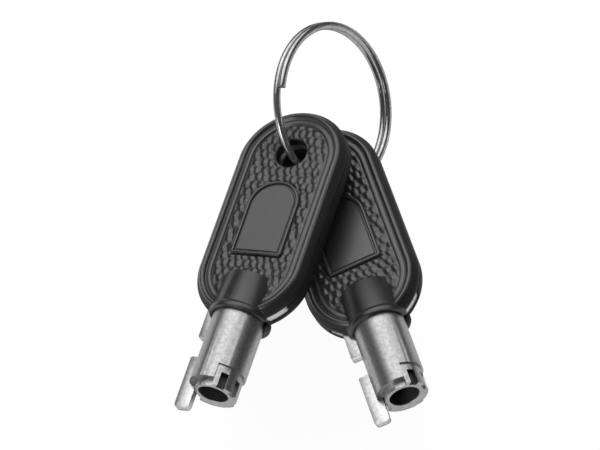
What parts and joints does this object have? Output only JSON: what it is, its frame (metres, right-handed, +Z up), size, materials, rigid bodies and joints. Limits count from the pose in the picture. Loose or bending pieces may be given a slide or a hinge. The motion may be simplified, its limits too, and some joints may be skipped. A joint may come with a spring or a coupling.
{
  "type": "tubular barrel key pair on split ring",
  "caption": "Two tubular barrel keys with moulded oval heads hang from a split ring and swing on its wire.",
  "frame": {"origin": "centre of the bounding box at the table the keys lie on", "axes": "+Z up from the table, +Y from the barrels' open ends towards the split ring, +X to the right as the keys are seen from above"},
  "size_m": [0.0358, 0.0636, 0.0216],
  "materials": {
    "ring_steel": "bright plated spring wire",
    "cover_plastic": "dark moulded plastic with a fine texture",
    "plate_steel": "nickel plated stamping",
    "barrel_plating": "nickel plated, turned",
    "pin_steel": "plain steel"
  },
  "bodies": {
    "ring": {"split_ring": "ring_steel"},
    "key_left": {"left_front_cover": "cover_plastic", "left_rear_cover": "cover_plastic", "left_core_plate": "plate_steel", "left_barrel": "barrel_plating", "left_cross_pin": "pin_steel"},
    "key_right": {"right_front_cover": "cover_plastic", "right_rear_cover": "cover_plastic", "right_core_plate": "plate_steel", "right_barrel": "barrel_plating", "right_cross_pin": "pin_steel"}
  },
  "joints": [
    {"name": "left_key_swing", "type": "hinge", "parent": "ring", "child": "key_left", "pos_m": [-0.00097, 0.00923, 0.01075], "axis": [0.5089, -0.2471, -0.8246], "range_deg": [-4, 40]},
    {"name": "right_key_swing", "type": "hinge", "parent": "ring", "child": "key_right", "pos_m": [0.00355, 0.00965, 0.00615], "axis": [0.6633, 0.2542, -0.7038], "range_deg": [-15, 3]}
  ]
}
